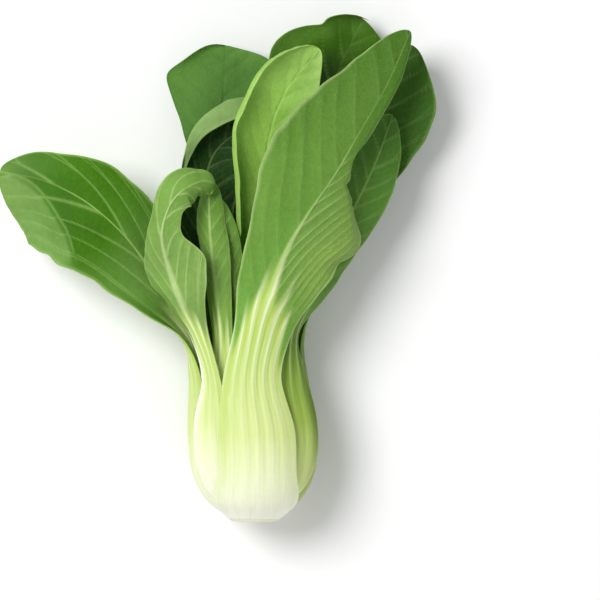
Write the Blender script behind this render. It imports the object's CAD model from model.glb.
import bpy
import numpy as np
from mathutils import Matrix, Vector


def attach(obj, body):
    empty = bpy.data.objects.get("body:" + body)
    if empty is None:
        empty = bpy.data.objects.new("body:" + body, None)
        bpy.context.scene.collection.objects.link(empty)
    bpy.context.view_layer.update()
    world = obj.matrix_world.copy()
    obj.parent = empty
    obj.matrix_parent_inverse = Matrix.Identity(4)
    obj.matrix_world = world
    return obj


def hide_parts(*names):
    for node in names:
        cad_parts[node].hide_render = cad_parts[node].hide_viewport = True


# A head of green-stemmed bok choy lying on its side: the cut stem is at -Y, the leaf tips at +Y.
# The dictionaries are in millimetres and degrees, Blender is in metres.
# Along a leaf, s counts its rows: 0 at the cut end, 4 where the stalk leaves the bulb, then the leaf's own rows.
# Across it, u goes from -1 at the left margin to 1 at the right one, and v is u without its sign.

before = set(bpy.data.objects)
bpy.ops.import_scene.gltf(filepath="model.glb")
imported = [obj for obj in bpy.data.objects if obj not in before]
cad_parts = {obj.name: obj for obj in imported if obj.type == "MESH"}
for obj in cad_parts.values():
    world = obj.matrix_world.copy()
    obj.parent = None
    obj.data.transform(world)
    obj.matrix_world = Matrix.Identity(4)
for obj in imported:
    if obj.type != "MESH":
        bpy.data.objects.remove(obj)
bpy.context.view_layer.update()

# The bulb that all the stalks follow: an outline turned round an axis that leans a little.
bulb = {
    "axisHeight": 29.2,
    "lean": -0.085,            # sideways drift for each mm above the belly
    "along": [-37, -35, -32, -28, -23, -15, -5, 6, 20, 34, 50],
    "radius": [9, 13.5, 18.5, 22.8, 26, 29, 30.2, 30.2, 29, 27, 25.5],
    "leastRadius": 9.8,
    "topY": 28,                # where the stalks leave the bulb's outline
    "share": [0, 0.13, 0.34, 0.64, 1],     # where the stalk's rows are, from its start to topY
    "width": [0.58, 0.8, 0.98, 1, 0.5],    # half width at those rows, as a share of the leaf's belly
    "tuck": 1.6,               # how much deeper a tucked stalk starts, for each mm of its inset
    "mostTuck": 3.3,
}

# What all leaves share: the rows where they change, their thickness, and how high ribs and veins stand.
section = {
    "squareUntil": 3, "squareBlend": 2,    # up to here a stalk's sections stand square to the bulb's axis
    "bladeStart": 4.2, "bladeBlend": 2.6,  # here the section thins out from stalk to blade
    "veinStart": 5.2, "veinBlend": 1.4,
    "midribRow": 4.6, "greenRow": 4.75, "neckRow": 4.9,
    "stalkThick": 5.4, "stalkEdge": 0.9, "stalkFall": 1.6,
    "bladeThick": 1.3, "bladeEdge": 0.55, "bladeFall": 9.6,
    "thinPerInset": 0.035,                 # inner stalks are thinner by this share for each mm of inset
    "startThick": 0.4,                     # thickness at the cut end, as a share
    "riseWithin": 0.25, "creaseWithin": 0.15,
    "ribHigh": 0.22, "fineRibHigh": 0.06,
    "veinHigh": 0.3, "fineVeinHigh": 0.06, "midribHigh": 0.4,
    "crown": 0.35,                         # how much of the thickness stands out of the outer face
    "waveRate": 2.6, "handPhase": 1.3,
    "marginFrom": 0.93,
}

# How the grid of a leaf is laid along it.
gridding = {
    "fineSteps": 1200,
    "tipShare": 1.25, "leastTip": 14,      # rows of points over the rounded tip
    "start": [0, 0.02, 0.07, 0.16, 0.3, 0.5, 0.75],    # closer rows at the cut end
    "tipEnd": 0.9995,                      # share of the tip's quarter circle that is built
    "lookAhead": 0.05,                     # rows to either side that give the spine's direction
    "floorGap": 0.05,                      # no point lies lower than this
}


# Eases from 0 to 1 as x does: three times its square less twice its cube.
def smoothStep(x):
    v = np.clip(x, 0, 1)
    return v * v * (3 - 2 * v)


# Five sine waves over two coordinates, their directions and starts drawn from the seed, averaged to about -1..1.
def ripple(a, b, seed):
    rng = np.random.default_rng(seed)
    total = 0
    for _ in range(5):
        ka, kb = rng.uniform(0.5, 1.6, 2) * rng.choice([-1, 1], 2)
        total = total + np.sin(ka * a + kb * b + rng.uniform(0, 2 * np.pi))
    return total / 2.6


# The stalk's five rows lie on the bulb's outline, less the leaf's inset, at the leaf's angle round the axis.
# Their half widths are shares of the belly, and they turn with the outline. The leaf's own rows follow them.
# A row is x, y, z of the midrib, roll, left width, right width, left rise, right rise, left turn, right turn.
def leafRows(leaf):
    share = np.array(bulb["share"])
    y = leaf["startY"] + (bulb["topY"] - leaf["startY"]) * share
    tuck = min(bulb["tuck"] * leaf["inset"], bulb["mostTuck"]) * (1 - share) ** 4
    radius = np.interp(y, bulb["along"], bulb["radius"]) - leaf["inset"] - tuck
    radius = np.maximum(radius, bulb["leastRadius"])
    own = np.array(leaf["rows"], float)
    base = leaf["base"]
    width = np.array(base + bulb["width"][len(base):]) * leaf["belly"]
    width[-1] += 0.25 * (own[0, 4] + own[0, 5])      # half way to the first row of its own
    turn = np.degrees(leaf["dive"] * width / radius)
    angle = np.radians(leaf["angle"])
    x = bulb["lean"] * np.maximum(y, 0) + radius * np.sin(angle)
    z = bulb["axisHeight"] + radius * np.cos(angle)
    roll = np.full(5, leaf["angle"] + leaf["tilt"])
    none = np.zeros(5)
    return np.vstack([np.column_stack([x, y, z, roll, width, width, none, none, turn, turn]), own])


# A smooth curve through the rows, one row for each whole number of s: a cubic between each two of them, whose
# slope at a row is half the step from the row before to the row after.
def rowsAt(rows, s):
    last = len(rows) - 1
    padded = np.vstack([2 * rows[0] - rows[1], rows, 2 * rows[-1] - rows[-2]])
    i = np.clip(np.floor(s).astype(int), 0, last - 1)
    f = (s - i)[:, None]
    p0, p1, p2, p3 = (padded[i + k] for k in range(4))
    return 0.5 * (2 * p1 + (p2 - p0) * f + (2 * p0 - 5 * p1 + 4 * p2 - p3) * f**2
                  + (3 * p1 - p0 - 3 * p2 + p3) * f**3)


# Places along the leaf: even steps in length, closer at the cut end, and a sine's steps over the rounded tip.
def placesAlong(rows, count):
    last = len(rows) - 1
    fine = np.linspace(0, last, gridding["fineSteps"])
    path = rowsAt(rows, fine)[:, :3]
    length = np.concatenate([[0], np.cumsum(np.linalg.norm(np.diff(path, axis=0), axis=1))])
    shoulder = np.interp(last - 1, fine, length)
    tipCount = int(gridding["tipShare"] * count * (length[-1] - shoulder) / length[-1])
    tipCount = max(gridding["leastTip"], tipCount)
    body = np.interp(np.linspace(0, shoulder, count - tipCount), length, fine)
    start = body[3] * np.array(gridding["start"])
    tip = last - 1 + gridding["tipEnd"] * np.sin(np.linspace(0, np.pi / 2, tipCount))
    s = np.concatenate([start, body[3:-1], tip])
    return s, np.interp(s, fine, length)


# The directions of each section: along the spine, which a stalk's sections trade for the bulb's axis, then
# across and out of the outer face. The last two are sideways and up, turned round the first by the roll.
def sectionFrames(rows, s):
    step, last = gridding["lookAhead"], len(rows) - 1
    along = rowsAt(rows, np.minimum(s + step, last))[:, :3] - rowsAt(rows, np.maximum(s - step, 0))[:, :3]
    along /= np.linalg.norm(along, axis=1, keepdims=True)
    onBlade = smoothStep((s - section["squareUntil"]) / section["squareBlend"])[:, None]
    along = along * onBlade + np.array([0, 1.0, 0]) * (1 - onBlade)
    along /= np.linalg.norm(along, axis=1, keepdims=True)
    up = np.array([0, 0, 1.0]) - along * along[:, 2:3]
    up /= np.linalg.norm(up, axis=1, keepdims=True)
    side = np.cross(along, up)
    roll = np.radians(rowsAt(rows, s)[:, 3:4])
    return along, side * np.cos(roll) - up * np.sin(roll), up * np.cos(roll) + side * np.sin(roll)


# One half of the section: an arc that leaves the midrib at an angle which grows by rise, turn and a crease.
# The way out and the way in are sums of the angle's cosine and sine over the width.
def halfSection(w, width, rise, turn, bend, bendAt):
    def angleAt(v):
        return (rise * smoothStep(v / section["riseWithin"]) + turn * v
                + bend * smoothStep((v - bendAt) / section["creaseWithin"]))
    middle = (w[1:] + w[:-1]) / 2
    step = width * np.diff(w)
    none = np.zeros_like(width)
    out = np.hstack([none, np.cumsum(np.cos(angleAt(middle)) * step, axis=1)])
    down = np.hstack([none, np.cumsum(np.sin(angleAt(middle)) * step, axis=1)])
    return out, down, angleAt(w[None, :])


# A crease in one half: how far it bends, eased in from its first row, and where across the half it lies, which
# moves to the midrib as a power of the share of rows that are left (a power of 0 stays where it is).
def creaseOf(leaf, row, hand):
    crease = leaf["crease"]
    if not crease or crease["hand"] != hand:
        return 0 * row, 0 * row
    left = np.clip((crease["until"] - row) / (crease["until"] - crease["from"]), 0, 1)
    bend = smoothStep(row - crease["from"]) * np.radians(crease["angle"])
    return bend, crease["at"] * left ** crease["power"]


# Nearness to the side veins, 1 on a vein. They leave the midrib every spacing, sweep forward with the
# distance d from it, fork towards the margin, and get finer as they go. Each is a bell curve of the distance
# to the nearest whole step; a broad and a fine version come with it.
def sideVeins(vein, seed, length, d, v, hand, neck):
    sweep = vein["forward"] + vein["baseForward"] * np.exp(-np.maximum(length - neck, 0) / 28)
    slant = np.sqrt(1 + sweep**2)
    path = length - sweep * d - 0.01 * vein["forward"] * d**2
    path = path + 0.07 * vein["spacing"] * ripple(length / 15, d / 12, seed)
    phase = path / vein["spacing"] + 0.27 * hand + 0.13 * np.sin(1.9 * path / vein["spacing"])
    off = np.abs(phase - np.round(phase)) * vein["spacing"] / slant
    off = np.abs(off - np.maximum(v - 0.55, 0) * 0.3 * vein["spacing"] / slant)      # the fork
    half = vein["width"] * (1 - 0.6 * v)
    main = np.exp(-(off / half) ** 2)
    broad = np.exp(-(off / (3.2 * half + 1)) ** 2)
    small = phase * 4 + 0.7 * ripple(path / 7, d / 8, seed + 1)
    smallOff = np.abs(small - np.round(small)) * vein["spacing"] / 4 / slant
    fine = np.exp(-(smallOff / (0.4 * half + 0.08)) ** 2)
    return vein["show"] * main, 1 - vein["relief"] * (1 - broad), vein["fine"] * fine


# The same veins in both halves, plain where nothing else is said: until is the row where they end.
def bothSides(**values):
    vein = {"baseForward": 1.6, "show": 0.6, "fine": 0.3, "relief": 1, "until": 99} | values
    return {-1: vein, 1: vein}


# Both halves of every section, side by side: their arcs, the angle there, the distance from the midrib, the
# veins, and the line of a crease with what lies beyond it. The width is the row's, rounded at the tip as a
# quarter circle, bitten by tears as bell curves, and roughened along the margin by a ripple.
def bothHalves(leaf, rows, s, length, w, tip, neck):
    value = rowsAt(rows, s)
    row, far = s[:, None], length[:, None]
    rounding = np.sqrt(np.maximum(1 - (gridding["tipEnd"] * tip) ** 2, 0))
    halves = []
    for hand, widthAt, riseAt, turnAt in ((-1, 4, 6, 8), (1, 5, 7, 9)):
        bend, bendAt = creaseOf(leaf, row, hand)
        width = value[:, widthAt:widthAt + 1] * rounding
        for tearHand, tearAt, tearLong, tearDeep in leaf["tears"]:
            if tearHand == hand:
                width = width * (1 - tearDeep * np.exp(-np.abs((row - tearAt) / tearLong) ** 1.5))
        rough = leaf["ragged"] * ripple(far / 3.1, hand + 0 * far, leaf["seed"] + 5)
        width = width * (1 + smoothStep((row - 5) / 1.5) * rough)
        rise, turn = np.radians(value[:, riseAt:riseAt + 1]), np.radians(value[:, turnAt:turnAt + 1])
        out, down, phi = halfSection(w, width, rise, turn, bend, bendAt)
        d = width * w
        vein = leaf["veins"][hand]
        main, broad, fine = sideVeins(vein, leaf["seed"], far, d, w, hand, neck)
        shown = 1 - smoothStep(row - vein["until"])
        main, broad, fine = main * shown, 1 - (1 - broad) * shown, fine * shown
        creased = np.clip(np.abs(bend) * 2, 0, 1)
        foldLine = np.exp(-((w - bendAt) * width / 0.7) ** 2) * creased
        beyond = smoothStep((w - bendAt) * width / 3) * creased
        halves.append((out, down, phi, d, main, broad, fine, foldLine, beyond))
    return (np.hstack([a[:, :0:-1], b]) for a, b in zip(*halves))


# Local lighter (above 0) or darker (below 0) places: a sum of soft round spots at s, u with their sizes.
def leafPatches(leaf, row, u):
    total = 0 * row * u
    for atRow, atU, rowSize, uSize, amount in leaf["patches"]:
        total = total + amount * np.exp(-((row - atRow) / rowSize) ** 2 - ((u - atU) / uSize) ** 2)
    return total


# The whole leaf as two faces. The outer face is the row's arc, carried along the rows, and raised by ribs that
# are cosines of u, veins, puffs between the veins, and sways and ruffles that grow with a power of v; the inner
# face lies a thickness under it, which falls from the middle to the margin as a power of one less u squared.
def leafFaces(leaf):
    rows = leafRows(leaf)
    count, columns = leaf["grid"]
    seed = leaf["seed"]
    s, length = placesAlong(rows, count)
    along, across, normal = sectionFrames(rows, s)
    w = np.linspace(0, 1, columns // 2 + 1)
    u = np.concatenate([-w[::-1], w[1:]])[None, :]
    v = np.abs(u)
    hand = np.where(u < 0, -1.0, 1.0)
    row, far = s[:, None], length[:, None]
    tip = np.maximum(row - (len(rows) - 2), 0)
    neck = np.interp(section["neckRow"], s, length)
    out, down, phi, d, main, broad, fine, foldLine, beyond = bothHalves(leaf, rows, s, length, w, tip, neck)

    blade = smoothStep((row - section["bladeStart"]) / section["bladeBlend"])
    inBlade = smoothStep((row - section["veinStart"]) / section["veinBlend"])
    ribs = leaf["ribs"]
    ribWave = np.cos(ribs * np.pi * (u + 0.02 * np.sin(3.1 * row + leaf["angle"])))
    fineRibs = np.cos(2.7 * ribs * np.pi * u + 0.8 * np.sin(1.7 * row))
    ribHigh = section["ribHigh"] * ribWave + section["fineRibHigh"] * fineRibs
    stalkRib = ribHigh * (1 - v**2) * smoothStep((row - 0.6) / 2.5)
    wideBase, wideTip, fadeAt = leaf["midrib"]
    start = section["midribRow"]
    midWidth = wideTip + (wideBase - wideTip) * (1 - smoothStep((row - start) / (fadeAt - start)))
    midrib = np.exp(-(d / midWidth) ** 4) * (1 - 0.75 * smoothStep((row - fadeAt) / 1.5))
    vein = inBlade * np.maximum(np.maximum(main * (1 - 0.35 * v), 0.4 * fine), midrib)
    vein = np.maximum(vein, leaf["foldShow"] * foldLine)
    ridge = inBlade * (section["veinHigh"] * main * (1 - 0.6 * v) + section["fineVeinHigh"] * fine
                       + section["midribHigh"] * midrib)
    puff = leaf["puff"] * inBlade * (1 - broad) * (1 - midrib) * (0.6 + 0.4 * ripple(far / 6, d / 5, 3))
    sway = leaf["sway"] * blade * v * ripple(far / 17, hand * d / 13, seed + 2)
    ruffle = leaf["ruffle"] * blade * v**5 * ripple(far / 5.5, hand * 2.0, seed + 3)
    wave = section["waveRate"] * row + section["handPhase"] * hand + leaf["angle"]
    wave = leaf["wave"] * v**2 * blade * np.sin(wave)
    scallop = leaf["scallop"] * blade * ripple(hand * d / 7, far / 16, seed + 6)

    grow = section["startThick"] + (1 - section["startThick"]) * smoothStep(row)
    stalkThick = section["stalkThick"] * (1 - section["thinPerInset"] * leaf["inset"])
    middle = (stalkThick * (1 - blade) + section["bladeThick"] * blade) * grow
    edge = section["stalkEdge"] * (1 - blade) + section["bladeEdge"] * blade
    fall = section["stalkFall"] + (section["bladeFall"] - section["stalkFall"]) * blade
    thick = edge + np.maximum(middle - edge, 0) * (1 - v**2) ** fall
    crown = section["crown"] * blade * (thick - edge)
    raised = stalkRib * (1 - blade) + ridge - puff + sway + ruffle + wave + crown
    startRound = np.sqrt(1 - (1 - np.clip(row / 0.09, 0, 1)) ** 2)
    tipRound = np.sqrt(1 - np.clip((tip - 0.9) / 0.1, 0, 1) ** 2 * 0.8)
    thickNow = thick * (0.12 + 0.88 * startRound * tipRound)

    side = across[:, None] * hand[..., None]
    face = normal[:, None] * np.cos(phi)[..., None] + side * np.sin(phi)[..., None]
    outward = side * np.cos(phi)[..., None] - normal[:, None] * np.sin(phi)[..., None]
    outer = rowsAt(rows, s)[:, None, :3] + along[:, None] * scallop[..., None]
    outer = outer + (side * out[..., None] - normal[:, None] * down[..., None] + face * raised[..., None])
    outer = outer - face * ((thick - thickNow) / 2)[..., None]
    inner = outer - face * thickNow[..., None]

    green = section["greenRow"] + leaf["tongue"] * (1 - u**2) ** 2
    jagged = leaf["soft"] * (0.5 + 0.35 * ripple(u * 9, row, seed + 4) - 0.22 * ribWave)
    flat = 0 * row * u
    marks = {
        "green": smoothStep((row - green + jagged) / leaf["soft"]) + flat,
        "vein": np.clip(vein, 0, 1),
        "rib": np.clip(0.5 + 0.5 * ribWave * (0.75 + 0.25 * fineRibs), 0, 1) + flat,
        "margin": smoothStep((v - section["marginFrom"]) / (1 - section["marginFrom"])) + flat,
        "side": np.where(u < 0, *leaf["side"]) * smoothStep((v - 0.4) / 0.6) + flat,
        "along": np.clip((far - neck) / (length[-1] - neck), -1, 1) + flat,
        "stalkUp": np.clip(far / neck, 0, 1) + flat,
        "lift": leafPatches(leaf, row, u) + leaf["foldLift"] * beyond,
    }
    return outer, inner, face, outward, thickNow, marks, d * hand, far + flat


# A named object with its data, linked to the scene.
def newObject(name, data):
    made = bpy.data.objects.new(name, data)
    bpy.context.scene.collection.objects.link(made)
    return made


# Each row of points is closed into a ring: outer face, a half-round margin, inner face, a half-round margin.
# A margin's points lie half a thickness from the middle, at the bend's angles from the face.
# The rings are joined by quads and both ends are closed by quads between the faces.
def buildLeaf(leaf):
    leaf = plainLeaf | leaf
    outer, inner, face, outward, thick, marks, sideways, lengthwise = leafFaces(leaf)
    bend = np.radians([35, 90, 145])

    def rim(column):
        centre = (outer[:, column] + inner[:, column])[:, None] / 2
        half = thick[:, column, None, None] / 2
        return centre + half * (face[:, column, None] * np.cos(bend)[:, None]
                                + outward[:, column, None] * np.sin(bend)[:, None])

    ring = np.concatenate([outer, rim(-1), inner[:, ::-1], rim(0)[:, ::-1]], axis=1)
    ring[..., 2] = np.maximum(ring[..., 2], gridding["floorGap"])
    n, m = ring.shape[:2]
    c = outer.shape[1]

    # a mark's values for a whole ring: across the outer face, held over a margin, and back over the inner face
    def ringMark(outerMark, innerMark):
        return np.concatenate([outerMark, outerMark[:, -1:].repeat(3, 1),
                               innerMark[:, ::-1], outerMark[:, :1].repeat(3, 1)], axis=1).ravel()

    index = np.arange(n * m).reshape(n, m)
    a, b = index[:-1], index[1:]
    body = np.stack([a, np.roll(a, -1, 1), np.roll(b, -1, 1), b], -1).reshape(-1, 4)
    outerSide = np.concatenate([[m - 2, m - 1], np.arange(c), [c, c + 1]])
    innerSide = np.concatenate([[m - 2, m - 3], np.arange(2 * c + 2, c + 2, -1), [c + 2, c + 1]])
    ends = []
    for row, turned in ((0, False), (n - 1, True)):
        x, y = index[row][outerSide], index[row][innerSide]
        quads = np.stack([x[:-1], y[:-1], y[1:], x[1:]], -1)
        ends.append(quads[:, ::-1] if turned else quads)
    polygons = [list(dict.fromkeys(q)) for q in np.vstack(ends).tolist()]
    polygons = body.tolist() + [q for q in polygons if len(q) > 2]

    mesh = bpy.data.meshes.new(leaf["name"])
    mesh.from_pydata((ring.reshape(-1, 3) / 1000).tolist(), [], polygons)
    mesh.polygons.foreach_set("use_smooth", np.ones(len(polygons), bool))
    rings = {name: ringMark(mark, mark) for name, mark in marks.items()}
    none = np.zeros_like(marks["vein"])
    rings["inside"] = ringMark(none, none + 1)
    for name, values in rings.items():
        layer = mesh.attributes.new(name, "FLOAT", "POINT")
        layer.data.foreach_set("value", values.astype(np.float32))
    flat = np.stack([ringMark(sideways, sideways), ringMark(lengthwise, lengthwise)], -1) / 100
    corner = np.empty(len(mesh.loops), np.int32)
    mesh.loops.foreach_get("vertex_index", corner)
    mesh.uv_layers.new(name="leafUv").data.foreach_set("uv", flat[corner].ravel().astype(np.float32))
    mesh.materials.append(leafMaterial(leaf["name"], leaf["colours"]))
    mesh.update()
    piece = newObject(leaf["name"], mesh)
    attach(piece, "root")
    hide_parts(leaf["node"] + "_stalk", leaf["node"] + "_blade")
    print(leaf["name"], len(mesh.vertices), "points,", 2 * len(polygons), "triangles")


# Screen colour from 0 to 255 to linear light: a power of 2.4, with a straight foot in the darkest tones.
def linear(rgb):
    c = np.array(rgb) / 255
    return (*np.where(c <= 0.04045, c / 12.92, ((c + 0.055) / 1.055) ** 2.4).tolist(), 1)


# Small helpers for node trees.
def newMaterial(name):
    material = bpy.data.materials.new(name)
    material.use_nodes = True
    tree = material.node_tree
    return material, tree, tree.nodes["Principled BSDF"]


# A node with its sources linked, and its settings put on the node itself or on its sockets.
def addNode(tree, kind, links=None, **settings):
    made = tree.nodes.new(kind)
    for key, setting in settings.items():
        if hasattr(made, key):
            setattr(made, key, setting)
        else:
            made.inputs[key].default_value = setting
    for socket, source in (links or {}).items():
        tree.links.new(source, made.inputs[socket])
    return made


# A value or colour into a socket: linked when it comes from a node, otherwise set there.
def feed(tree, socket, given):
    if isinstance(given, bpy.types.NodeSocket):
        tree.links.new(given, socket)
    elif given is not None:
        socket.default_value = given


def markOf(tree, name):
    return addNode(tree, "ShaderNodeAttribute", attribute_name=name).outputs["Fac"]


# The first colour less the amount, and the second one by the amount.
def mixed(tree, amount, first, second):
    mix = addNode(tree, "ShaderNodeMix", data_type="RGBA")
    for place, given in ((0, amount), (6, first), (7, second)):      # the mix node's sockets for colours
        feed(tree, mix.inputs[place], given)
    return mix.outputs[2]


def maths(tree, operation, first, second=None, third=None, clamp=False):
    made = addNode(tree, "ShaderNodeMath", operation=operation, use_clamp=clamp)
    for socket, given in zip(made.inputs, (first, second, third)):
        feed(tree, socket, given)
    return made.outputs[0]


# A straight line from one range to another, held at both ends.
def remap(tree, source, fromLow, fromHigh, toLow=0.0, toHigh=1.0):
    made = addNode(tree, "ShaderNodeMapRange", {"Value": source}, clamp=True)
    for name, given in (("From Min", fromLow), ("From Max", fromHigh), ("To Min", toLow), ("To Max", toHigh)):
        made.inputs[name].default_value = given
    return made.outputs["Result"]


# Blade colour: from low to tip along the leaf, shifted by big noise, with a pair of its own for the inner face.
# The net, lighter and darker places, the veins and the margin follow.
def bladeColour(tree, colours, bigNoise, netLine):
    inside, along, margin = (markOf(tree, name) for name in ("inside", "along", "margin"))
    vein, lift = markOf(tree, "vein"), markOf(tree, "lift")
    veinColour = linear(colours["vein"])
    along = maths(tree, "ADD", along, maths(tree, "MULTIPLY_ADD", bigNoise, 0.5, -0.25), clamp=True)
    outer = mixed(tree, along, linear(colours["low"]), linear(colours["tip"]))
    inner = mixed(tree, along, linear(colours["innerLow"]), linear(colours["innerTip"]))
    blade = mixed(tree, inside, outer, inner)
    blade = mixed(tree, maths(tree, "MULTIPLY", netLine, colours["net"]), blade, veinColour)
    blade = mixed(tree, remap(tree, lift, 0.0, 1.0), blade, linear(colours["bright"]))
    blade = mixed(tree, remap(tree, lift, 0.0, -1.0), blade, linear(colours["deep"]))
    blade = mixed(tree, maths(tree, "MULTIPLY", vein, colours["veinShow"]), blade, veinColour)
    return mixed(tree, maths(tree, "MULTIPLY", margin, 0.35), blade, veinColour)


# Stalk colour: creamy base, then stalk, then green top. Off the base its sides go darker or lighter, and towards
# the neck the grooves between the ribs darken and their crests lighten. Fine streaks run along it.
def stalkColour(tree, colours, fibre):
    stalkUp, side, rib = (markOf(tree, name) for name in ("stalkUp", "side", "rib"))
    base, groove = linear(colours["base"]), linear(colours["groove"])
    stalk = mixed(tree, remap(tree, stalkUp, 0.0, 0.5), base, linear(colours["stalk"]))
    stalk = mixed(tree, remap(tree, stalkUp, 0.45, 1.0), stalk, linear(colours["upper"]))
    offBase, nearNeck = remap(tree, stalkUp, 0.05, 0.55), remap(tree, stalkUp, 0.66, 1.0)
    stalk = mixed(tree, maths(tree, "MULTIPLY", remap(tree, side, 0.0, 1.0), offBase), stalk, groove)
    stalk = mixed(tree, maths(tree, "MULTIPLY", remap(tree, side, 0.0, -1.0), offBase), stalk, base)
    between = maths(tree, "MULTIPLY_ADD", nearNeck, 0.68, 0.09)
    stalk = mixed(tree, maths(tree, "MULTIPLY", remap(tree, rib, 0.5, 0.0), between), stalk, groove)
    onCrest = maths(tree, "MULTIPLY_ADD", nearNeck, 0.5, 0.05)
    stalk = mixed(tree, maths(tree, "MULTIPLY", remap(tree, rib, 0.6, 1.0), onCrest), stalk, base)
    stalk = mixed(tree, remap(tree, fibre, 0.5, 0.75, 0.0, 0.16), stalk, groove)
    return mixed(tree, remap(tree, fibre, 0.46, 0.25, 0.0, 0.16), stalk, base)


# Leaf material. The green mark blends stalk into blade, and both noises vary the brightness, most on the blade.
# The net, the streaks along the stalk and a fine grain are bumps on each other, and a little light goes through.
def leafMaterial(name, colours):
    material, tree, shader = newMaterial(name)
    place = tree.nodes.new("ShaderNodeTexCoord")
    onObject, onLeaf = {"Vector": place.outputs["Object"]}, {"Vector": place.outputs["UV"]}
    green = markOf(tree, "green")
    big = addNode(tree, "ShaderNodeTexNoise", onObject, Scale=55.0, Detail=3.0).outputs["Fac"]
    small = addNode(tree, "ShaderNodeTexNoise", onObject, Scale=420.0, Detail=4.0).outputs["Fac"]
    net = addNode(tree, "ShaderNodeTexVoronoi", onLeaf, feature="DISTANCE_TO_EDGE", Scale=36.0)
    netLine = remap(tree, net.outputs["Distance"], 0.0, 0.09, 1.0, 0.0)
    streak = addNode(tree, "ShaderNodeMapping", onLeaf)
    streak.inputs["Scale"].default_value = (1.0, 0.045, 1.0)
    onStreak = {"Vector": streak.outputs[0]}
    fibre = addNode(tree, "ShaderNodeTexNoise", onStreak, Scale=95.0, Detail=4.0).outputs["Fac"]

    blade = bladeColour(tree, colours, big, netLine)
    whole = mixed(tree, green, stalkColour(tree, colours, fibre), blade)
    vary = addNode(tree, "ShaderNodeHueSaturation", {"Color": whole})
    fineTone = maths(tree, "MULTIPLY_ADD", green, 0.8, 0.2)
    fineTone = maths(tree, "MULTIPLY_ADD", remap(tree, small, 0.3, 0.7, -0.05, 0.05), fineTone, 1.02)
    mottle = maths(tree, "MULTIPLY", remap(tree, big, 0.3, 0.7, -0.12, 0.1), green)
    feed(tree, vary.inputs["Value"], maths(tree, "ADD", fineTone, mottle))
    feed(tree, shader.inputs["Base Color"], vary.outputs[0])
    rough = maths(tree, "MULTIPLY_ADD", small, 0.14, colours["rough"])
    feed(tree, shader.inputs["Roughness"], maths(tree, "MULTIPLY_ADD", green, 0.07, rough))

    net, normal = maths(tree, "MULTIPLY", netLine, green), {}
    for height, strength, distance in ((net, 0.25, 0.0003), (fibre, 0.22, 0.0004), (small, 0.18, 0.0003)):
        heights = {"Height": height} | normal
        bump = addNode(tree, "ShaderNodeBump", heights, Strength=strength, Distance=distance)
        normal = {"Normal": bump.outputs[0]}
    feed(tree, shader.inputs["Normal"], bump.outputs[0])
    shader.inputs["Specular IOR Level"].default_value = 0.1
    shader.inputs["Subsurface Weight"].default_value = 0.12
    shader.inputs["Subsurface Radius"].default_value = (0.7, 1.0, 0.35)
    shader.inputs["Subsurface Scale"].default_value = 0.003
    return material


# The short stem that the stalks grow from, with its cut end: radius and distance along the bulb's axis.
stem = {
    "profile": [[0, -37.0], [6, -36.95], [9.2, -36.75], [10.9, -36.2], [11.3, -35.4], [10.8, -34.2],
                [8.6, -32], [7.8, -28], [7.2, -24], [5, -17], [0, -10]],
    "around": 96,
    "steps": 60,
    "wobble": 0.02,
    "leastRadius": 0.2,
    "flesh": [(246, 247, 222), (228, 234, 190)],
    "strand": (170, 160, 104),
}


# A profile of radius and distance turned round the bulb's axis, with a faint wobble, closed by its two poles.
def buildStem(stem):
    ends = [[0, stem["profile"][i][1], bulb["axisHeight"]] for i in (0, -1)]
    steps = np.linspace(0, len(stem["profile"]) - 1, stem["steps"])[1:-1]
    profile = rowsAt(np.array(stem["profile"], float), steps)
    turn = np.linspace(0, 2 * np.pi, stem["around"], endpoint=False)[None]
    wobble = stem["wobble"] * ripple(3 * np.cos(turn), 3 * np.sin(turn), 2)
    radius = np.maximum(profile[:, :1], stem["leastRadius"]) * (1 + wobble)
    y = profile[:, 1:2] + 0 * turn
    points = np.stack([radius * np.cos(turn), y, bulb["axisHeight"] + radius * np.sin(turn)], -1)
    n, m = points.shape[:2]
    index = np.arange(n * m).reshape(n, m)
    a, b = index[:-1], index[1:]
    body = np.stack([a, b, np.roll(b, -1, 1), np.roll(a, -1, 1)], -1).reshape(-1, 4).tolist()
    first, final = index[0], index[-1]
    caps = [[n * m, p, q] for p, q in zip(first.tolist(), np.roll(first, -1).tolist())]
    caps += [[n * m + 1, q, p] for p, q in zip(final.tolist(), np.roll(final, -1).tolist())]
    mesh = bpy.data.meshes.new("cutStem")
    mesh.from_pydata((np.vstack([points.reshape(-1, 3), ends]) / 1000).tolist(), [], body + caps)
    mesh.polygons.foreach_set("use_smooth", np.ones(len(mesh.polygons), bool))
    mesh.materials.append(stemMaterial(stem))
    piece = newObject("cutStem", mesh)
    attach(piece, "root")
    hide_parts("stem")
    print("cutStem", len(mesh.vertices), "points")


# Cut stem: cream flesh mottled by noise, with small brown-green dots of the strands on it and a coarse grain.
def stemMaterial(stem):
    material, tree, shader = newMaterial("cutStem")
    place = tree.nodes.new("ShaderNodeTexCoord")
    onObject = {"Vector": place.outputs["Object"]}
    dots = addNode(tree, "ShaderNodeTexVoronoi", onObject, Scale=700.0).outputs["Distance"]
    noise = addNode(tree, "ShaderNodeTexNoise", onObject, Scale=260.0, Detail=4.0).outputs["Fac"]
    flesh = mixed(tree, noise, *(linear(colour) for colour in stem["flesh"]))
    flesh = mixed(tree, remap(tree, dots, 0.35, 0.1, 0.0, 0.5), flesh, linear(stem["strand"]))
    feed(tree, shader.inputs["Base Color"], flesh)
    feed(tree, shader.inputs["Roughness"], maths(tree, "MULTIPLY_ADD", noise, 0.3, 0.45))
    bump = addNode(tree, "ShaderNodeBump", {"Height": noise}, Strength=0.4, Distance=0.0005)
    feed(tree, shader.inputs["Normal"], bump.outputs[0])
    shader.inputs["Subsurface Weight"].default_value = 0.12
    shader.inputs["Subsurface Scale"].default_value = 0.003
    return material


buildStem(stem)

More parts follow.
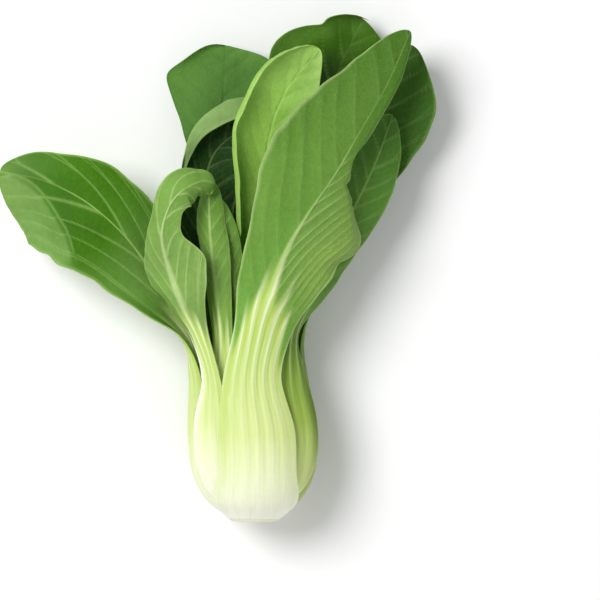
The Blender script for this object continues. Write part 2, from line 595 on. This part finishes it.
# Colours of a pale and of a dark stalk. A leaf adds those of its blade: low and tip are its outer face near the
# neck and at the end, inner the same inside, bright and deep where a patch lifts or darkens it. veinShow and
# net say how much of the vein colour shows.
stalkColours = {
    "base": (255, 255, 240), "stalk": (218, 230, 160), "upper": (190, 213, 120), "groove": (172, 202, 84),
    "net": 0.04, "rough": 0.42,
}
darkStalk = stalkColours | {
    "base": (196, 212, 132), "stalk": (116, 144, 50), "upper": (92, 126, 40), "groove": (78, 112, 28),
}

# Colours of the narrow leaves inside the head, and of the small pale ones in its heart.
innerColours = stalkColours | {
    "low": (134, 174, 80), "tip": (100, 144, 54), "innerLow": (84, 130, 46), "innerTip": (70, 116, 36),
    "bright": (140, 180, 90), "deep": (40, 70, 22), "vein": (176, 206, 128), "veinShow": 0.6,
}
heartColours = innerColours | {
    "low": (160, 196, 96), "tip": (150, 190, 88), "innerLow": (150, 190, 88), "innerTip": (140, 184, 76),
}

# A leaf's values. angle and inset place its stalk round and inside the bulb, tilt turns it further, belly is its
# half width, base its first shares of that, and dive how much it bends round. rows are the leaf's own sections.
# A tear is hand, row, length in rows and depth as a share; a patch is row, u, their sizes and how light it is.
# midrib is two half widths and the row where it fades. tongue and soft shape the stalk's pale end in the blade.
# side darkens (above 0) or lightens the stalk's left and right. puff, sway, ruffle, wave and scallop are heights
# in millimetres, ragged a share of the width. foldShow and foldLift light a crease's line and what is beyond it.
plainLeaf = {
    "tilt": 0, "base": [], "crease": None, "tears": [], "patches": [], "foldShow": 0, "foldLift": 0,
    "soft": 0.8, "side": [0.4, 0.4], "ragged": 0.012, "ribs": 4, "midrib": [2, 0.4, 9], "tongue": 1.6,
}

print("leaves")

# front leaf: over everything, outer face up, bent to the right
frontLeaf = {
    "name": "frontLeaf", "node": "leaf_front", "slot": "outer_face", "grid": [300, 130],
    "angle": 4, "inset": 0, "startY": -35.6, "belly": 18, "base": [0.9, 1.2, 1.04, 1, 0.37], "dive": 1,
    "rows": [
        [2.8, 48, 55.5, 8, 12, 15, 0, 0, 32, 32],
        [8, 66, 57, 10, 16, 20, 0, 4, 14, 24],
        [16, 87, 59, 12, 20, 30, -4, 6, 8, 26],
        [26, 104, 60, 13, 29, 37, -6, 8, 8, 28],
        [37, 120, 59.5, 13, 33, 9, -6, 8, 10, 24],
        [48, 139, 56.5, 11, 28, 5.5, -4, 8, 12, 20],
        [60, 160, 51, 8, 19, 5, 0, 8, 12, 14],
        [70, 183, 44, 4, 12, 4.5, 0, 8, 10, 10],
    ],
    "crease": {"hand": 1, "at": 0.62, "angle": 28, "from": 6.4, "until": 20, "power": 0},
    "tears": [[1, 8.9, 0.1, 0.35]],
    "ribs": 6, "midrib": [3.0, 0.25, 8.6], "tongue": 1.5, "soft": 0.9, "side": [0.42, 0.25],
    "puff": 0.55, "sway": 1.5, "ruffle": 0.5, "wave": 0.8, "scallop": 0.7,
    "seed": 11,
    "veins": {
        -1: {"spacing": 17, "forward": 1.3, "baseForward": 2.0, "width": 0.5, "show": 0.2, "fine": 0.08,
             "relief": 1.2, "until": 99},
        1: {"spacing": 12, "forward": 2.4, "baseForward": 1.6, "width": 0.42, "show": 0.8, "fine": 0.4,
            "relief": 1.1, "until": 8.8},
    },
    "patches": [[7.4, 0.7, 1.5, 0.5, 0.5], [9.5, -0.4, 1.5, 0.5, 0.1], [7.5, -0.8, 1.0, 0.3, 0.15]],
    "colours": stalkColours | {
        "low": (112, 162, 66), "tip": (68, 110, 30), "innerLow": (96, 146, 62), "innerTip": (70, 116, 38),
        "bright": (150, 178, 84), "deep": (60, 92, 30), "vein": (206, 222, 158), "veinShow": 0.45, "rough": 0.4,
    },
}
buildLeaf(frontLeaf)

# small left leaf: outer face up, its tip curled over
leftSmallLeaf = {
    "name": "leftSmallLeaf", "node": "leaf_left_small", "slot": "pale_outer_face", "grid": [240, 90],
    "angle": -41, "tilt": 18, "inset": 1.7, "startY": -27, "belly": 10.8, "base": [0.45, 0.8, 0.98, 0.86, 0.14],
    "dive": 1.35,
    "rows": [
        [-25.5, 47, 46, -40, 5.5, 5.5, 0, 0, 40, 40],
        [-32, 61, 50, -28, 11, 11, 5, 5, 30, 24],
        [-37.5, 76, 53, -18, 14, 17, 10, 0, 34, 20],
        [-41, 91, 55, -10, 9.5, 10, 10, 0, 34, 20],
        [-38, 104, 57, 0, 8.5, 6.5, 8, 0, 34, 30],
        [-31, 112.5, 57, 6, 10, 9, 8, 0, 40, 40],
        [-23.5, 113, 52, 10, 10, 10, 8, 0, 50, 50],
        [-20, 110, 45, 16, 7, 8, 8, 0, 50, 50],
    ],
    "midrib": [2.6, 0.4, 9], "tongue": 1, "side": [-0.8, 0.6],
    "puff": 0.35, "sway": 0.8, "ruffle": 0.6, "wave": 1.2, "ragged": 0.02, "scallop": 0.7,
    "seed": 21, "veins": bothSides(spacing=15, forward=2.0, width=0.5, show=0.7, fine=0.25),
    "colours": stalkColours | {
        "low": (128, 164, 82), "tip": (112, 156, 64), "innerLow": (84, 134, 44), "innerTip": (74, 124, 34),
        "bright": (160, 196, 116), "deep": (70, 110, 34), "vein": (190, 212, 146), "veinShow": 0.7,
    },
}
buildLeaf(leftSmallLeaf)

# long left leaf: upper face up, reaching far to the left
leftLongLeaf = {
    "name": "leftLongLeaf", "node": "leaf_left_long", "slot": "upper_face", "grid": [260, 110],
    "angle": -92, "tilt": 8, "inset": 0.8, "startY": -35, "belly": 16, "base": [0.46, 0.8], "dive": 1.1,
    "rows": [
        [-32, 48, 28, -114, 10, 12, 0, 0, 30, 30],
        [-43, 69, 34, -150, 14, 19, 0, 0, 20, 20],
        [-57, 90, 38, -168, 19, 26, -4, 0, 10, 10],
        [-74, 106, 41, -174, 20, 31, -4, 0, 4, 8],
        [-93, 116, 41, -174, 14, 35, 0, 0, 0, 8],
        [-114, 121, 38, -170, 10, 25, 0, 0, 0, 8],
    ],
    "crease": {"hand": 1, "at": 1, "angle": -48, "from": 7.2, "until": 10, "power": 1.8},
    "ribs": 5, "midrib": [1.0, 0.25, 8], "tongue": 1, "side": [0.4, 0.7],
    "puff": 0.35, "sway": 1.0, "ruffle": 0.5, "wave": 1, "scallop": 1.0,
    "seed": 31, "veins": bothSides(spacing=34, forward=3.3, baseForward=1.0, width=0.62, show=0.55, fine=0.0),
    "foldShow": 0.45, "foldLift": 0.8,
    "patches": [[6.2, 0, 1.0, 1.5, 0.55], [10.3, -0.1, 0.9, 0.9, 0.7], [8.3, 0.3, 1.3, 0.5, -0.25]],
    "colours": stalkColours | {
        "low": (142, 180, 92), "tip": (122, 160, 72), "innerLow": (64, 116, 12), "innerTip": (60, 110, 10),
        "bright": (124, 162, 84), "deep": (52, 92, 26), "vein": (164, 198, 112), "veinShow": 0.75, "rough": 0.38,
    },
}
buildLeaf(leftLongLeaf)

# tucked right leaf: under the front leaf's right edge
rightTuckedLeaf = {
    "name": "rightTuckedLeaf", "node": "leaf_right_tucked", "slot": "outer_face", "grid": [180, 70],
    "angle": 47, "tilt": -19, "inset": 2, "startY": -27, "belly": 12.5, "base": [0.4, 0.72], "dive": 1.35,
    "rows": [
        [17, 48, 45, 46, 8, 8, 0, 0, 36, 36],
        [25, 68, 44, 38, 11, 12, 0, 0, 24, 20],
        [35, 88, 42, 28, 14, 15, 0, 0, 20, 14],
        [46, 107, 39, 22, 16, 15, 0, 0, 16, 12],
        [55, 126, 37, 18, 14, 12, 0, 0, 14, 10],
        [62, 146, 34, 18, 10, 9, 0, 0, 10, 10],
    ],
    "midrib": [2.2, 0.4, 9], "tongue": 1.2, "side": [0.0, 1.0],
    "puff": 0.3, "sway": 0.8, "ruffle": 0.5, "wave": 1.2, "ragged": 0.015, "scallop": 1.6,
    "seed": 41, "veins": bothSides(spacing=11, forward=1.0, width=0.65),
    "colours": stalkColours | {
        "base": (232, 242, 172), "stalk": (166, 194, 88), "upper": (98, 134, 44), "groove": (90, 122, 36),
        "low": (104, 150, 62), "tip": (64, 110, 36), "innerLow": (80, 130, 44), "innerTip": (52, 96, 26),
        "bright": (120, 160, 70), "deep": (34, 62, 18), "vein": (150, 184, 104), "veinShow": 0.5,
    },
}
buildLeaf(rightTuckedLeaf)

# outer right leaf: dark, behind the front leaf's tip
rightOuterLeaf = {
    "name": "rightOuterLeaf", "node": "leaf_right_outer", "slot": "dark_face", "grid": [200, 76],
    "angle": 98, "tilt": -8, "inset": 1.2, "startY": -35, "belly": 15, "base": [0.5, 0.77], "dive": 1.1,
    "rows": [
        [22, 48, 26, 108, 9, 9, 0, 0, 30, 30],
        [28, 70, 23, 130, 11, 12, 0, 0, 20, 20],
        [34, 92, 21, 150, 14, 15, 0, 0, 14, 14],
        [42, 112, 20, 164, 16, 18, 0, 0, 10, 10],
        [52, 132, 20, 172, 19, 20, 0, 0, 10, 10],
        [62, 153, 21, 176, 21, 19, 0, 0, 10, 10],
        [71, 177, 22, 176, 14, 12, 0, 0, 10, 10],
    ],
    "ribs": 5, "midrib": [2.4, 0.4, 9], "tongue": 1.4, "side": [0.9, 0.3],
    "puff": 0.35, "sway": 1.0, "ruffle": 0.6, "wave": 1.6, "ragged": 0.015, "scallop": 1.6,
    "seed": 51, "veins": bothSides(spacing=13, forward=1.0, width=0.65),
    "colours": darkStalk | {
        "low": (92, 140, 56), "tip": (56, 98, 34), "innerLow": (72, 120, 40), "innerTip": (54, 92, 28),
        "bright": (110, 150, 60), "deep": (24, 44, 16), "vein": (138, 172, 96), "veinShow": 0.45,
    },
}
buildLeaf(rightOuterLeaf)

# under leaf: the one the head lies on
underLeaf = {
    "name": "underLeaf", "node": "leaf_under", "slot": "dark_face", "grid": [150, 64],
    "angle": 180, "inset": 0, "startY": -35.6, "belly": 20, "base": [0.54, 0.9], "dive": 1,
    "rows": [
        [-4, 48, 3.4, 180, 14, 14, 0, 0, 32, 32],
        [-4, 70, 1.8, 180, 18, 18, 0, 0, 10, 10],
        [-3, 93, 0.9, 180, 22, 22, 0, 0, 4, 4],
        [-1, 116, 0.6, 180, 23, 23, 0, 0, 4, 4],
        [1, 139, 0.6, 180, 19, 19, 0, 0, 4, 4],
        [3, 160, 1, 180, 12, 12, 0, 0, 4, 4],
    ],
    "ribs": 6, "midrib": [3, 0.4, 9],
    "puff": 0.25, "sway": 0.4, "ruffle": 0.3, "wave": 1, "scallop": 1.5,
    "seed": 61, "veins": bothSides(spacing=13, forward=1.0, width=0.7),
    "colours": stalkColours | {
        "low": (112, 160, 66), "tip": (78, 124, 44), "innerLow": (80, 130, 44), "innerTip": (60, 104, 32),
        "bright": (130, 170, 80), "deep": (30, 56, 20), "vein": (180, 204, 130), "veinShow": 0.5,
    },
}
buildLeaf(underLeaf)

# back left leaf: round end, upper face up
backLeftLeaf = {
    "name": "backLeftLeaf", "node": "leaf_back_left", "slot": "upper_face", "grid": [200, 80],
    "angle": -138, "inset": 2.6, "startY": -26, "belly": 11, "dive": 2.4,
    "rows": [
        [-20, 48, 10.5, -150, 9, 8.4, 0, 0, 30, 30],
        [-19, 71, 10, -165, 10, 10, 0, 0, 20, 20],
        [-18, 94, 10, -175, 11, 11, 0, 0, 14, 14],
        [-16, 117, 11, -180, 12, 12, 0, 0, 10, 10],
        [-15, 139, 12, -180, 16, 17, 0, 0, 8, 8],
        [-14, 162, 13, -180, 25, 25, 0, 0, 6, 6],
        [-13, 179, 14, -180, 23, 24, 0, 0, 6, 6],
    ],
    "puff": 0.4, "sway": 0.9, "ruffle": 1.2, "wave": 1.4, "ragged": 0.015, "scallop": 2.6,
    "seed": 71, "veins": bothSides(spacing=10, forward=0.8, baseForward=1.2, width=0.6),
    "patches": [[10.3, 0.5, 0.5, 0.4, 0.15], [9.4, 0.0, 0.6, 0.6, -0.25]],
    "colours": darkStalk | {
        "low": (92, 140, 60), "tip": (88, 134, 56), "innerLow": (72, 116, 44), "innerTip": (90, 134, 58),
        "bright": (128, 166, 84), "deep": (26, 48, 20), "vein": (64, 104, 40), "veinShow": 0.55,
    },
}
buildLeaf(backLeftLeaf)

# back right leaf: wavy end, upper face up
backRightLeaf = {
    "name": "backRightLeaf", "node": "leaf_back_right", "slot": "upper_face", "grid": [220, 96],
    "angle": 138, "inset": 2.6, "startY": -26, "belly": 11, "dive": 2.4,
    "rows": [
        [11, 48, 10.5, 150, 9, 9, 0, 0, 30, 30],
        [14, 72, 9, 168, 13, 13, 0, 0, 18, 18],
        [18, 96, 8.5, 176, 18, 17, 0, 0, 12, 12],
        [25, 120, 9, 180, 23, 22, 0, 4, 10, 14],
        [31, 144, 10, 180, 27, 27, 0, 4, 6, 24],
        [38, 167, 11, 180, 28, 33, 0, 6, 6, 40],
        [49, 191, 12, 180, 19, 27, 0, 6, 6, 50],
    ],
    "tears": [[1, 10.5, 0.2, 0.32]],
    "midrib": [2.2, 0.4, 9],
    "puff": 0.4, "sway": 1.0, "ruffle": 1.6, "wave": 2.6, "ragged": 0.015, "scallop": 1.8,
    "seed": 81, "veins": bothSides(spacing=11, forward=0.9, baseForward=1.2, width=0.6),
    "patches": [[10.2, 0.8, 0.6, 0.4, 0.6], [9.95, 0.2, 0.45, 0.3, -0.9], [10.9, 0.0, 0.2, 0.8, 0.35]],
    "colours": darkStalk | {
        "low": (90, 136, 54), "tip": (88, 130, 44), "innerLow": (58, 100, 16), "innerTip": (58, 100, 14),
        "bright": (104, 146, 60), "deep": (26, 46, 18), "vein": (116, 154, 70), "veinShow": 0.55,
    },
}
buildLeaf(backRightLeaf)

# folded leaf: bright yellow-green, folded along its midrib
foldedLeaf = {
    "name": "foldedLeaf", "node": "leaf_folded", "slot": "bright_face", "grid": [240, 100],
    "angle": -174, "inset": 8.8, "startY": -24, "belly": 12, "dive": 1.2,
    "rows": [
        [-4.6, 48, 15, -176, 10, 9, 0, 0, 34, 34],
        [-1, 70, 20, -176, 13, 11, 0, 6, 24, 50],
        [2, 92, 26, -176, 18, 14, 0, 8, 20, 60],
        [4, 115, 33, -176, 21, 18.5, 0, 8, 20, 56],
        [7, 138, 38, -174, 22, 22.5, 0, 8, 20, 44],
        [14, 157, 42, -170, 17, 21.5, 0, 8, 16, 36],
        [29, 176, 41, -168, 8, 15, 0, 8, 10, 24],
    ],
    "crease": {"hand": 1, "at": 0.78, "angle": 75, "from": 6.2, "until": 20, "power": 0},
    "tongue": 1.8,
    "puff": 0.35, "sway": 0.7, "ruffle": 0.5, "wave": 0.8, "scallop": 0.8,
    "seed": 91, "veins": bothSides(spacing=12, forward=1.5, width=0.6),
    "patches": [[6.4, 0.2, 1.0, 0.9, -0.75], [8.4, 0.55, 1.0, 0.3, 0.25], [8.3, -0.1, 0.9, 0.45, 0.45],
                [9.8, 0.1, 1.4, 0.9, 0.4]],
    "colours": stalkColours | {
        "low": (140, 180, 80), "tip": (146, 186, 92), "innerLow": (118, 172, 42), "innerTip": (166, 210, 112),
        "bright": (150, 200, 70), "deep": (36, 66, 22), "vein": (178, 208, 120), "veinShow": 0.55, "rough": 0.4,
    },
}
buildLeaf(foldedLeaf)

# hood leaf: a deep dark cup with a pale outside
hoodLeaf = {
    "name": "hoodLeaf", "node": "leaf_hood", "slot": "dark_face", "grid": [210, 104],
    "angle": -113, "inset": 9, "startY": -24, "belly": 8.5, "dive": 1.2,
    "rows": [
        [-20.6, 48, 19.6, -124, 8, 8, 0, 0, 34, 34],
        [-22, 71, 17, -150, 11, 12, 0, 4, 24, 30],
        [-24, 94, 16.5, -162, 14, 17, 0, 8, 20, 44],
        [-24, 112, 17, -168, 16, 19, 0, 8, 16, 60],
        [-18, 130, 18, -170, 16, 24, 0, 8, 14, 60],
        [-5, 141, 20, -170, 14, 27, 0, 8, 10, 60],
        [8, 149, 22, -170, 10, 26, 0, 8, 10, 60],
    ],
    "crease": {"hand": 1, "at": 0.9, "angle": 110, "from": 7.05, "until": 16, "power": 1},
    "puff": 0.35, "sway": 0.8, "ruffle": 0.5, "wave": 1, "scallop": 0.8,
    "seed": 101, "veins": bothSides(spacing=12, forward=1.1, baseForward=1.4, width=0.6),
    "colours": darkStalk | {
        "low": (126, 158, 92), "tip": (128, 160, 92), "innerLow": (26, 52, 20), "innerTip": (36, 70, 24),
        "bright": (150, 186, 110), "deep": (24, 46, 18), "vein": (170, 198, 128), "veinShow": 0.25,
    },
}
buildLeaf(hoodLeaf)

# narrow inner leaves seen edge-on between the left and front leaves, alike but for their place
narrowLeaf = {
    "slot": "outer_face", "grid": [150, 50], "inset": 8.8, "dive": 1.3,
    "ribs": 3, "midrib": [1.5, 0.4, 9], "tongue": 0.6, "side": [0.3, 0.3],
    "puff": 0.1, "sway": 0.05, "ruffle": 0.1, "wave": 0.6, "scallop": 0.3,
    "veins": bothSides(spacing=8, forward=1.2, baseForward=1.4, width=0.5), "colours": innerColours,
}
innerLeftLeaf = narrowLeaf | {
    "name": "innerLeftLeaf", "node": "leaf_inner_left", "angle": -42, "startY": -22, "belly": 9, "seed": 111,
    "rows": [
        [-15, 48, 41, -34, 5.5, 5.5, 0, 0, 30, 30],
        [-17, 66, 42, -26, 7.5, 7, 14, 10, 30, 30],
        [-19, 86, 42, -20, 8.5, 8, 20, 12, 30, 30],
        [-20, 103, 41, -14, 8, 7, 20, 12, 30, 30],
        [-20, 117, 39, -10, 6, 6, 20, 12, 30, 30],
    ],
}
buildLeaf(innerLeftLeaf)

innerRoundLeaf = narrowLeaf | {
    "name": "innerRoundLeaf", "node": "leaf_inner_round", "angle": 7, "startY": -24, "belly": 7.5, "seed": 121,
    "rows": [
        [-7, 48, 37.6, -6, 4.8, 5, 0, 0, 30, 30],
        [-9, 68, 37.8, -8, 6.0, 6, 14, 14, 30, 30],
        [-11.5, 88, 37.6, -12, 6.4, 5.5, 16, 16, 30, 30],
        [-14, 108, 37.0, -12, 5.8, 4, 16, 16, 30, 30],
    ],
}
buildLeaf(innerRoundLeaf)

innerRightLeaf = {
    "name": "innerRightLeaf", "node": "leaf_inner_right", "slot": "dark_face", "grid": [150, 60],
    "angle": 84, "inset": 8.8, "startY": -24, "belly": 11, "dive": 1.2,
    "rows": [
        [13, 48, 29, 86, 7, 7, 0, 0, 34, 34],
        [18, 70, 28, 110, 9, 9, 0, 0, 24, 24],
        [25, 92, 27, 130, 11, 11, 0, 0, 20, 20],
        [33, 112, 25, 145, 12, 12, 0, 0, 16, 16],
        [42, 131, 23, 150, 9, 9, 0, 0, 10, 10],
    ],
    "ribs": 3, "midrib": [1.8, 0.4, 9],
    "puff": 0.25, "sway": 0.5, "ruffle": 0.5, "wave": 1, "scallop": 0.3,
    "seed": 131, "veins": bothSides(spacing=9, forward=1.0, baseForward=1.4, width=0.5),
    "colours": innerColours,
}
buildLeaf(innerRightLeaf)

# small heart leaves in the middle, alike but for their place
heartLeaf = {
    "slot": "bright_face", "grid": [110, 36], "inset": 16, "startY": -14, "belly": 6, "dive": 1.3,
    "ribs": 3, "midrib": [1, 0.4, 9], "tongue": 0.8, "side": [0.3, 0.3],
    "puff": 0.15, "sway": 0.1, "ruffle": 0.2, "wave": 0.4, "ragged": 0.01, "scallop": 0.3,
    "veins": bothSides(spacing=7, forward=1.2, baseForward=1.2, width=0.4), "colours": heartColours,
}
heartUpperLeaf = heartLeaf | {
    "name": "heartUpperLeaf", "node": "leaf_heart_upper", "angle": 60, "seed": 141,
    "rows": [
        [2, 47, 34, 40, 4, 4, 0, 0, 30, 30],
        [4, 66, 36, 30, 5, 5, 12, 12, 40, 40],
        [6, 84, 38, 25, 4, 4, 20, 20, 40, 40],
    ],
}
buildLeaf(heartUpperLeaf)

heartLowerLeaf = heartLeaf | {
    "name": "heartLowerLeaf", "node": "leaf_heart_lower", "angle": 196, "seed": 151,
    "rows": [
        [-5, 47, 24, 190, 4, 4, 0, 0, 30, 30],
        [-5, 66, 27, 188, 5, 5, 12, 12, 40, 40],
        [-4, 82, 31, 186, 4, 4, 20, 20, 40, 40],
    ],
}
buildLeaf(heartLowerLeaf)

# Floor, light and camera.
stage = {
    "floorSize": 6.0,
    "floorColours": [(252, 252, 252), (250, 250, 250)],
    "skyStrength": 0.42,
    "key": {"place": (-0.75, 0.55, 1.5), "size": 0.9, "power": 23},
    "fill": {"place": (0.5, -1.2, 1.0), "size": 1.4, "power": 5},
    "cameraDistance": 3.0,     # metres above the middle of the leaves
    "frameWidth": 0.270,       # metres across the picture
    "aim": (0.0207, 0.0630, 0.036),
}


# Floor: near-white with a barely seen mottle of noise.
def floorMaterial():
    material, tree, shader = newMaterial("floor")
    place = tree.nodes.new("ShaderNodeTexCoord")
    noise = addNode(tree, "ShaderNodeTexNoise", {"Vector": place.outputs["Object"]}, Scale=6.0)
    tone = mixed(tree, noise.outputs["Fac"], *(linear(colour) for colour in stage["floorColours"]))
    feed(tree, shader.inputs["Base Color"], tone)
    shader.inputs["Roughness"].default_value = 0.9
    return material


# Floor, two soft round lamps turned to the middle of the head, a white sky, and a camera straight above. The
# lens is the sensor's width times the camera's distance over the width of the picture.
def buildStage():
    half = stage["floorSize"] / 2
    mesh = bpy.data.meshes.new("floor")
    corners = [(-half, -half, 0), (half, -half, 0), (half, half, 0), (-half, half, 0)]
    mesh.from_pydata(corners, [], [(0, 1, 2, 3)])
    mesh.materials.append(floorMaterial())
    floor = newObject("floor", mesh)
    aim = Vector(stage["aim"])
    for name in ("key", "fill"):
        lamp = stage[name]
        light = bpy.data.lights.new(name, "AREA")
        light.shape, light.size, light.energy = "DISK", lamp["size"], lamp["power"]
        holder = newObject(name, light)
        holder.location = lamp["place"]
        holder.rotation_euler = (aim - holder.location).to_track_quat("-Z", "Y").to_euler()
    world = bpy.data.worlds.new("sky")
    world.use_nodes = True
    world.node_tree.nodes["Background"].inputs["Color"].default_value = (1, 1, 1, 1)
    world.node_tree.nodes["Background"].inputs["Strength"].default_value = stage["skyStrength"]
    bpy.context.scene.world = world
    bpy.context.scene.view_settings.view_transform = "Standard"
    view = bpy.data.cameras.new("camera")
    view.lens = view.sensor_width * stage["cameraDistance"] / stage["frameWidth"]
    view.clip_end = 100
    camera = newObject("camera", view)
    camera.location = aim + Vector((0, 0, stage["cameraDistance"]))
    bpy.context.scene.camera = camera


buildStage()
print("floor, light and camera")
